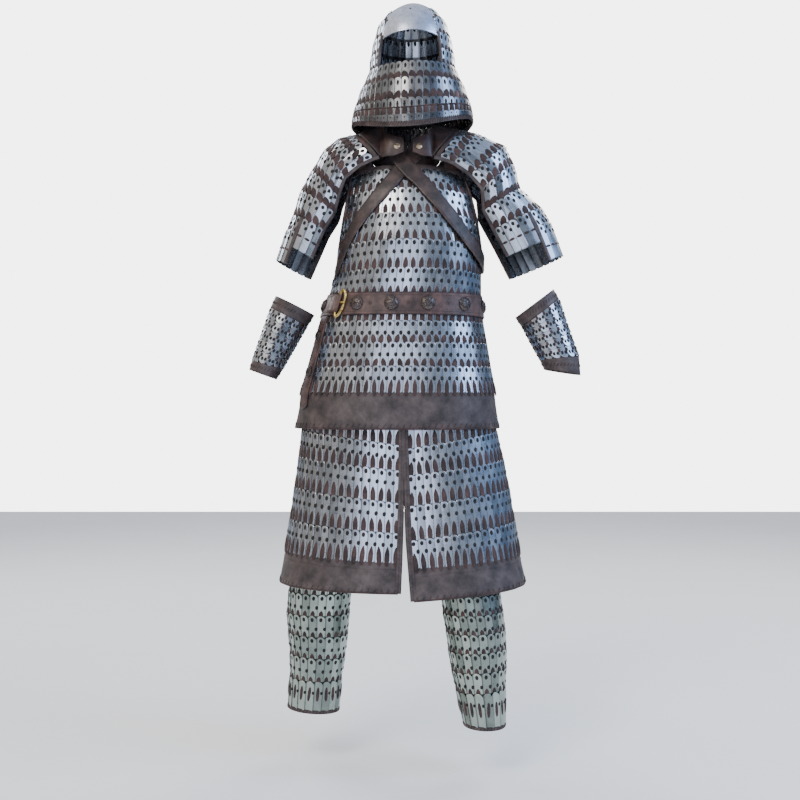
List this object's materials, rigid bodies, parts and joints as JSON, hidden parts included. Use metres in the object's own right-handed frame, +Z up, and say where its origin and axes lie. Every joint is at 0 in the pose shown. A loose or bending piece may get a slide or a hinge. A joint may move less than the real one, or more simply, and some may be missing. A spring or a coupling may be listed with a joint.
{
  "type": "worn suit of lamellar armour",
  "caption": "Worn suit of laced lamellar armour with helmet, shoulder guards, cuirass, belt, split skirt, bracers and greaves.",
  "frame": {"origin": "middle of the wearer's shoulders, under the collar, where the suit is held up", "axes": "+Z up, the front of the suit faces -Y, the wearer's right side lies at -X"},
  "size_m": [0.7845, 0.3936, 1.7042],
  "materials": {
    "plate_steel": "satin",
    "helmet_steel": "polished",
    "brown_leather": "matt",
    "strap_leather": "matt",
    "brass": "worn",
    "dark_metal": "antiqued"
  },
  "bodies": {
    "root": {"helmet_crown": "helmet_steel", "helmet_brow_plate": "helmet_steel", "helmet_side_rows": "plate_steel", "aventail": "plate_steel", "collar_left": "brown_leather", "collar_right": "brown_leather", "collar_stud_left": "brass", "collar_stud_right": "brass", "shoulder_left": "plate_steel", "shoulder_left_front_lappet": "plate_steel", "shoulder_left_outer_lappet": "plate_steel", "shoulder_right": "plate_steel", "shoulder_right_front_lappet": "plate_steel", "shoulder_right_outer_lappet": "plate_steel", "cuirass_front": "plate_steel", "cuirass_back": "plate_steel", "shoulder_strap_left": "brown_leather", "shoulder_strap_right": "brown_leather", "strap_over": "strap_leather", "strap_under": "strap_leather", "belt": "strap_leather", "belt_tail": "strap_leather", "belt_buckle": "brass", "boss_01": "dark_metal", "boss_02": "dark_metal", "boss_03": "dark_metal", "boss_04": "dark_metal", "boss_05": "dark_metal", "boss_06": "dark_metal", "boss_07": "dark_metal", "boss_08": "dark_metal", "boss_09": "dark_metal", "boss_10": "dark_metal", "boss_11": "dark_metal", "boss_12": "dark_metal", "tail_boss_1": "dark_metal", "tail_boss_2": "dark_metal", "thigh_guard_left": "plate_steel", "thigh_guard_right": "plate_steel", "bracer_left": "plate_steel", "bracer_right": "plate_steel", "greave_left": "plate_steel", "greave_right": "plate_steel"}
  },
  "joints": []
}
